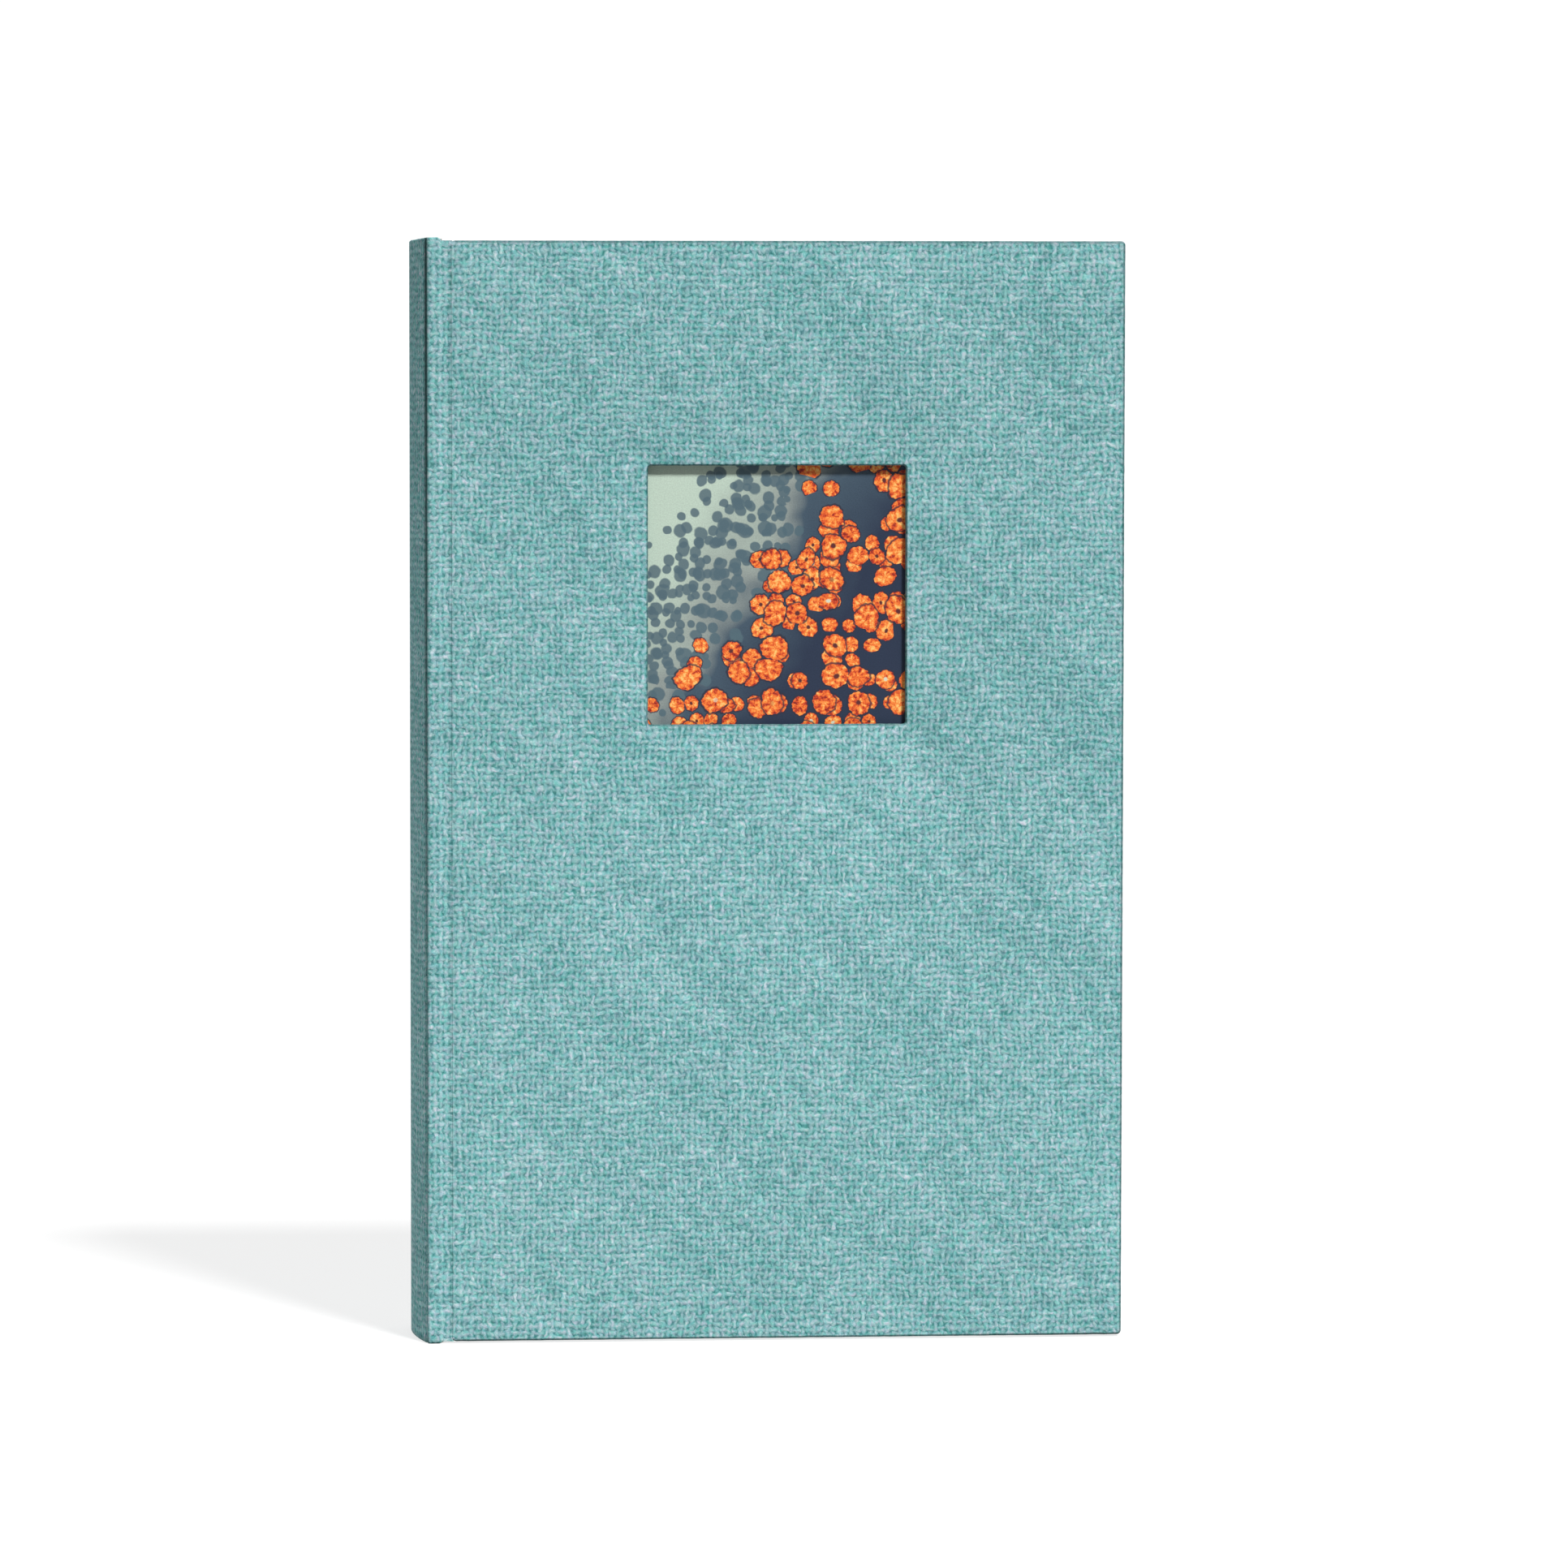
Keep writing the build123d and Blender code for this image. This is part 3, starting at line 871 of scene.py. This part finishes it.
def make_glassine():
    """Translucent paper with a fine web of veins, which shows through from both sides."""
    material, wire, shader = new_finish("interleaf_paper", {"Specular IOR Level": 0.55})
    place = wire.node("TexCoord", output=3)
    x, _, z = place.split()
    web = wire.node("TexVoronoi", {"feature": "DISTANCE_TO_EDGE"},
                    {"Vector": wire.joined(x, 0.0, z), "Scale": 260.0, "Randomness": 1.0})
    cloudy = wire.clouds(place, 70.0, 3.0)
    vein = web.step(0.02, 0.10)
    base = (cloudy * 0.5 + vein * 0.25 + 0.15).colour([(0.2, (0.78, 0.77, 0.72)), (0.8, (0.90, 0.895, 0.86))])
    base.to(shader, "Base Color")
    (cloudy * 0.16 - vein * 0.10 + 0.80).to(shader, "Alpha")
    (cloudy * 0.2 + 0.25).to(shader, "Roughness")
    vein.raise_surface(shader, 0.00003)
    return material


glassine = make_glassine()


def leaf_lift(x, z, share, seed):
    """How far a leaf stands from its flat place: nothing at the crease, most near the fore-edge. share
    is how far x lies between the two."""
    wave = noise.noise(Vector((x * leaf_long_lumps, z * leaf_long_lumps, 31.7 * seed)))
    wave += 0.4 * noise.noise(Vector((x * leaf_short_lumps, z * leaf_short_lumps, 17.3 * seed + 5.0)))
    height = max(-leaf_wave_limit, min(wave * 2.2, leaf_wave_limit))
    return leaf_wave * max(share, 0.0) ** 0.7 * height


def make_leaf_sheet(node, name, leaf, material, seed):
    """A leaf, flyleaf or interleaf. It rides on its leaf's body, and waves as that leaf does."""
    low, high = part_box(node)
    crease_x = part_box(leaf)[0].x
    edge_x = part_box(leaf)[1].x
    points = []
    for face_y in (low.y, high.y):
        for row in range(leaf_rows + 1):
            for step in range(leaf_steps + 1):
                x = low.x + (high.x - low.x) * step / leaf_steps
                z = low.z + (high.z - low.z) * row / leaf_rows
                if step == leaf_steps and row in (0, leaf_rows):
                    x -= leaf_corner
                    z += leaf_corner if row == 0 else -leaf_corner
                share = (x - crease_x) / (edge_x - crease_x)
                points.append((x, face_y + leaf_lift(x, z, share, seed), z))
    piece = new_piece(name, points, thin_sheet_faces(leaf_steps, leaf_rows), material)
    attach(piece, leaf)
    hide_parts(node)


for number in range(1, leaf_count + 1):
    leaf = f"leaf_{number:02d}"
    make_leaf_sheet(leaf, f"leaf_sheet_{number:02d}", leaf, leaf_card, number)
    make_leaf_sheet(f"interleaf_{number:02d}", f"glassine_{number:02d}", leaf, glassine,
                    number)
for seed, side in ((21, "front"), (22, "back")):
    flyleaf = f"{side}_flyleaf"
    make_leaf_sheet(flyleaf, f"{side}_flyleaf_sheet", flyleaf, endpaper, seed)


# --- Floor and studio ----------------------------------------------------------------------------------
# A pale round floor and an even white studio. The floor glows a little, so that it is nearly as light as
# the studio behind it, and only shadows show where it is.
floor_radius = 0.55
floor_sides = 96
floor_glow = 0.76
studio_light = 0.14          # the studio's brightness as a light
studio_seen = 1.05           # and as a backdrop


def make_floor():
    turns = [2 * math.pi * step / floor_sides for step in range(floor_sides)]
    points = [(floor_radius * math.cos(turn), floor_radius * math.sin(turn), 0.0) for turn in turns]
    mesh = bpy.data.meshes.new("floor")
    mesh.from_pydata(points, [], [list(range(floor_sides))])
    material, _, _ = new_finish("pale_floor", {
        "Base Color": (0.25, 0.25, 0.25, 1), "Roughness": 1.0, "Specular IOR Level": 0.0,
        "Emission Color": (1, 1, 1, 1), "Emission Strength": floor_glow})
    mesh.materials.append(material)
    floor = bpy.data.objects.new("floor", mesh)
    bpy.context.scene.collection.objects.link(floor)
    floor.visible_diffuse = False


def make_world():
    """An even white studio, with its colours shown plainly."""
    world = bpy.data.worlds.new("studio")
    world.use_nodes = True
    nodes = world.node_tree.nodes
    background = nodes["Background"]
    background.inputs["Color"].default_value = (1, 1, 1, 1)
    seen = nodes.new("ShaderNodeLightPath")
    strength = nodes.new("ShaderNodeMapRange")
    strength.inputs["To Min"].default_value = studio_light
    strength.inputs["To Max"].default_value = studio_seen
    world.node_tree.links.new(seen.outputs["Is Camera Ray"], strength.inputs["Value"])
    world.node_tree.links.new(strength.outputs["Result"], background.inputs["Strength"])
    scene = bpy.context.scene
    scene.world = world
    scene.view_settings.view_transform = "Standard"
    scene.view_settings.look = "None"


make_floor()
make_world()


# --- Lights ------------------------------------------------------------------------------------------------
# One soft key light from the front, above and to the right, a weak light on the spine, one from behind,
# and the light that a real pale floor would throw back up.
key_way = Vector((1.6, -3.0, 4.2))
key_on_front = 0.80          # what of the key falls square on the front cover
key_strength = key_on_front / (3.0 / key_way.length)
spine_way = Vector((-1.0, -0.03, 0.2))
back_way = Vector((0.35, 1.0, 0.45))
bounce_side = 1.3
bounce_strength = 0.45
bounce_height = 0.0004       # just over the floor


def place_light(name, kind, energy):
    light = bpy.data.lights.new(name, kind)
    light.energy = energy * math.pi
    lamp = bpy.data.objects.new(name, light)
    bpy.context.scene.collection.objects.link(lamp)
    return lamp


for name, way, strength, softness in (("key", key_way, key_strength, 10),
                                      ("spine_fill", spine_way, 0.25, 50),
                                      ("back_fill", back_way, 0.55, 60)):
    lamp = place_light(name, "SUN", strength)
    lamp.data.angle = math.radians(softness)
    lamp.rotation_euler = way.to_track_quat("Z", "Y").to_euler()

lamp = place_light("floor_bounce", "AREA", bounce_strength * bounce_side ** 2)
lamp.data.shape = "RECTANGLE"
lamp.data.size = bounce_side
lamp.data.size_y = bounce_side
lamp.location = (0.0, 0.0, bounce_height)
lamp.rotation_euler = (math.pi, 0.0, 0.0)
lamp.visible_camera = False


# --- Camera ------------------------------------------------------------------------------------------------
# It stands in front of the album, a little left of it and above its middle, so that it just sees round
# the spine.
camera_distance = 2.1        # from the front cover's face
camera_aside = 0.035         # left of the spine, for each metre of that distance
camera_height = 0.328
aim_x = -0.0480
aim_z = 0.2124


def place_camera():
    lens = bpy.data.cameras.new("camera")
    lens.lens = 144.2
    lens.shift_x = 0.10
    lens.shift_y = -0.045
    lens.clip_start = 0.05
    camera = bpy.data.objects.new("camera", lens)
    spine_x = cad_box[0].x
    face_y = cad_box[0].y
    camera.location = (spine_x - camera_aside * camera_distance, face_y - camera_distance, camera_height)
    aim = Vector((aim_x, face_y, aim_z))
    camera.rotation_euler = (aim - camera.location).to_track_quat("-Z", "Y").to_euler()
    bpy.context.scene.collection.objects.link(camera)
    bpy.context.scene.camera = camera


place_camera()
